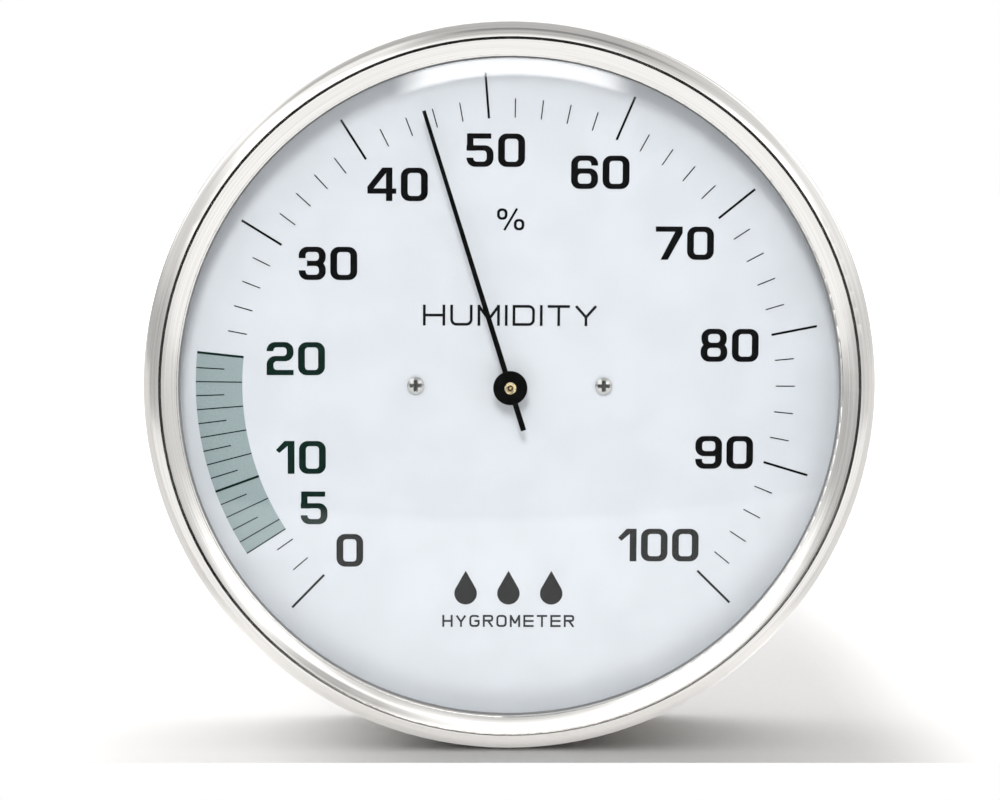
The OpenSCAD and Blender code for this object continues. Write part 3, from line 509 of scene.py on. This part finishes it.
def spring_coil():
    """The hairspring as a smooth flat spiral that winds up between its collet and its stud."""
    low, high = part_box("hairspring")
    turns, per_turn, thick = 5.5, 72, 0.14 * MM
    r_in, r_out = 1.58 * MM, 7.0 * MM
    stud_angle = math.radians(90)
    steps = int(turns * per_turn)
    verts, pointer_share = [], []
    for i in range(steps + 1):
        t = i / steps
        radius = r_in + (r_out - r_in) * t
        a = stud_angle - math.tau * turns * (1 - t)
        for side, y in ((-1, high.y), (1, high.y), (1, low.y), (-1, low.y)):
            r = radius + side * thick / 2
            verts.append((r * math.sin(a), y, r * math.cos(a)))
            pointer_share.append(1 - t)
    made = piece("spring_coil", verts, tube_faces(0, steps + 1, 4), "spring_bronze", smooth=False)
    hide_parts("hairspring")
    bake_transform(made, "housing", "pointer", (r_out, 0, 0), (0, 0, 0))
    # the turn is shared out along the wire, and not by the distance across the spiral
    blend = made.data.attributes["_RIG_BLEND"].data
    blend.foreach_set("value", np.array(pointer_share, np.float32))


glass_dome()
hair_fibres()
spring_coil()


# -------------------------------------------------------------------- stage

def floor_sheet():
    """A plain white sheet that ends a little in front of the object. It glows towards its edges, so that
    they burn out to the white of the background, and has another glow in mirrors."""
    front, back, side, height = -0.050, 3.0, 2.5, CAD_BOX[0].z
    s = Shader("white_sheet")
    grain = s.noise(s.where, 0.6, 4.0, 0.6)
    x, y = s.split(s.where)[0:2]
    glow = s.total(
        s.fit(x, -60.0, -8.0, 0.28, 0.0), s.fit(x, -140.0, -70.0, 0.2, 0.0),
        s.fit(x, 75.0, 112.0, 0.0, 0.35), s.fit(y, 40.0, 300.0, 0.0, 0.35),
    )
    mirror_glow = s.fit(s.math("ABSOLUTE", x), 70.0, 120.0, 0.55, 0.1)
    path = s.node("ShaderNodeLightPath").outputs
    in_mirror = s.product(path["Is Glossy Ray"], s.math("LESS_THAN", path["Diffuse Depth"], 0.5))
    s.surface(
        Base_Color=s.mix(s.fit(grain, 0.3, 0.7, 0.0, 1.0), (0.90, 0.89, 0.88), (0.92, 0.91, 0.90)),
        Roughness=0.75, Normal=s.bump(grain, 0.01), Emission_Color=(1.0, 1.0, 1.0),
        Emission_Strength=s.total(s.product(in_mirror, mirror_glow), s.product(s.rest_of(in_mirror), glow)),
    )
    mesh = bpy.data.meshes.new("floor_sheet")
    corners = [(-side, front, height), (side, front, height), (side, back, height), (-side, back, height)]
    mesh.from_pydata(corners, [], [(0, 1, 2, 3)])
    mesh.materials.append(s.material)
    made = bpy.data.objects.new("floor_sheet", mesh)
    bpy.context.scene.collection.objects.link(made)


def mirrored_room(g, right, front, up):
    """What metal and glass mirror: a grey room with a white ceiling and table. It is told by how far a
    direction points to the right, to the front and up, each from -1 to 1. All that the glass mirrors to
    the camera lies in one circle of directions. That is dark, so that the dial reads clearly, under a
    bright arch."""
    circle_right, circle_up = 0.028, -0.1115

    def away_from(to_right, to_up):
        across, lift = g.math("SUBTRACT", right, to_right), g.math("SUBTRACT", up, to_up)
        return g.math("SQRT", g.total(g.product(across, across), g.product(lift, lift)))

    off = away_from(circle_right, circle_up)
    dim_upper_right = g.product(g.fit(right, 0.2, 0.35, 0.0, 0.8), g.fit(up, 0.5, 0.62, 0.0, 1.0))
    ceiling = g.product(
        g.fit(up, 0.08, 0.28, 0.0, 0.92), g.fit(up, 0.60, 0.80, 1.0, 0.05),
        g.fit(g.math("ABSOLUTE", right), 0.62, 0.85, 1.0, 0.3), g.rest_of(dim_upper_right),
    )
    window = g.product(
        g.fit(right, -0.35, -0.2, 0.55, 0.0), g.fit(up, 0.4, 0.75, 0.0, 1.0),
        g.fit(front, -0.1, 0.1, 0.0, 1.0),
    )
    walls = g.total(g.fit(right, 0.3, 0.55, 0.0, 0.22), 0.56)
    boom = g.product(
        g.fit(front, 0.12, 0.18, 0.0, 1.0), g.fit(front, 0.33, 0.40, 1.0, 0.0),
        g.fit(up, 0.75, 0.88, 0.0, 1.0), g.fit(right, -0.2, -0.1, 0.0, 0.45),
    )
    lit = g.math("MAXIMUM", g.fit(off, 0.272, 0.285, 0.02, 1.0), g.fit(front, 0.0, 0.2, 1.0, 0.0))
    room = g.product(g.total(ceiling, window, walls), g.rest_of(boom), lit)
    sag = g.math("MINIMUM", g.product(right, right, 0.35), 0.035)
    table = g.product(
        g.fit(g.math("SUBTRACT", up, sag), -0.226, -0.214, 1.0, 0.0), g.fit(off, 0.300, 0.330, 0.62, 1.12)
    )
    dark_patch = g.fit(away_from(0.276, 0.36), 0.08, 0.17, 0.33, 1.0)
    aside = g.math("ABSOLUTE", g.math("SUBTRACT", right, circle_right))
    arch = g.product(
        g.fit(off, 0.279, 0.285, 0.0, 9.0), g.fit(off, 0.300, 0.306, 1.0, 0.0),
        g.fit(aside, 0.07, 0.115, 1.0, 0.0), g.fit(up, 0.0, 0.05, 0.0, 1.0),
        g.fit(front, 0.5, 0.6, 0.0, 1.0),
    )
    return g.math("MAXIMUM", g.product(g.math("MAXIMUM", room, table), dark_patch), arch)


def studio():
    """Soft room light. The camera sees a white room, mirrors see the mirrored one, and matt surfaces are
    lit mostly from overhead and behind."""
    world = bpy.data.worlds.new("studio")
    g = Graph(world)
    x, y, z = g.split(g.node("ShaderNodeNewGeometry").outputs["Incoming"])
    right, front, up = g.product(x, -1.0), y, g.product(z, -1.0)
    matt = g.product(g.fit(up, 0.45, 0.95, 0.04, 2.1), g.fit(front, -0.5, 0.4, 1.25, 0.45))
    path = g.node("ShaderNodeLightPath").outputs
    by_mirror = path["Is Glossy Ray"]
    seen = g.total(
        g.product(g.rest_of(by_mirror), matt), g.product(by_mirror, mirrored_room(g, right, front, up))
    )
    background = g.node("ShaderNodeBackground")
    g.put(background.inputs["Color"], (1.0, 1.0, 1.0))
    g.put(background.inputs["Strength"], g.math("MAXIMUM", seen, path["Is Camera Ray"]))
    g.put(g.node("ShaderNodeOutputWorld").inputs["Surface"], background.outputs[0])
    world.cycles.sampling_method = "NONE"
    bpy.context.scene.world = world


def from_front(azimuth, elevation, distance, centre):
    """A point seen from centre at these angles. Azimuth 0 is straight in front, and left is negative."""
    a, e = math.radians(azimuth), math.radians(elevation)
    return centre + distance * Vector((math.sin(a) * math.cos(e), -math.cos(a) * math.cos(e), math.sin(e)))


def softbox(name, azimuth, elevation, width, height, radiance, lit, in_mirrors=False):
    """A lamp that lights only the objects of the collection lit. Mirrors show it only with in_mirrors."""
    centre, distance = Vector((0, -0.03, 0)), 1.3
    lamp = bpy.data.lights.new(name, "AREA")
    lamp.shape = "RECTANGLE"
    lamp.size, lamp.size_y = width, height
    lamp.energy = radiance * math.pi * width * height
    lamp.cycles.use_multiple_importance_sampling = not in_mirrors
    made = bpy.data.objects.new(name, lamp)
    made.location = from_front(azimuth, elevation, distance, centre)
    made.rotation_mode = "QUATERNION"
    made.rotation_quaternion = (centre - made.location).to_track_quat("-Z", "Y")
    made.visible_camera = False
    made.visible_glossy = in_mirrors
    made.visible_transmission = False
    made.light_linking.receiver_collection = lit
    bpy.context.scene.collection.objects.link(made)


def lit_group(name, objects):
    group = bpy.data.collections.new(name)
    for lit in objects:
        group.objects.link(lit)
    return group


def camera_stand():
    """The camera at the photo's viewing angle, turned a little about its line of sight as in the photo."""
    dial_face = Vector((0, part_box("dial_plate")[0].y, 0))
    camera = bpy.data.cameras.new("camera")
    camera.sensor_width = 36
    camera.lens = 106
    camera.shift_x, camera.shift_y = -0.0096, -0.0148
    stand = bpy.data.objects.new("camera", camera)
    stand.location = from_front(azimuth=-1.5, elevation=6, distance=0.65, centre=dial_face)
    stand.rotation_mode = "QUATERNION"
    level = (dial_face - stand.location).to_track_quat("-Z", "Y")
    stand.rotation_quaternion = level @ Quaternion((0, 0, 1), math.radians(0.35))
    bpy.context.scene.collection.objects.link(stand)
    bpy.context.scene.camera = stand


# the lamps leave the floor to the room, so that it keeps its dark contact shadow
meshes = [made for made in bpy.context.scene.objects if made.type == "MESH"]
everything = lit_group("lit_by_softboxes", meshes)
hub_brass = lit_group("lit_by_sparkle", [NODES["pointer_collet"], NODES["pointer_arbor"]])
floor_sheet()
studio()
for name, (azimuth, elevation, width, height, radiance) in {
    "softbox_key": (-4, 29, 0.28, 0.36, 27),
    "softbox_front": (-4, 40, 1.0, 0.8, 1.75),
    "softbox_low": (0, -24, 1.2, 0.6, 1.95),
    "softbox_left": (-50, 44, 1.2, 1.5, 0.8),
    "softbox_right": (52, 18, 0.9, 0.55, 1.1),
}.items():
    softbox(name, azimuth, elevation, width, height, radiance, everything)
softbox("softbox_sparkle", 0, -4, 0.6, 0.6, 1.6, hub_brass, in_mirrors=True)
camera_stand()
bpy.context.scene.view_settings.view_transform = "Standard"
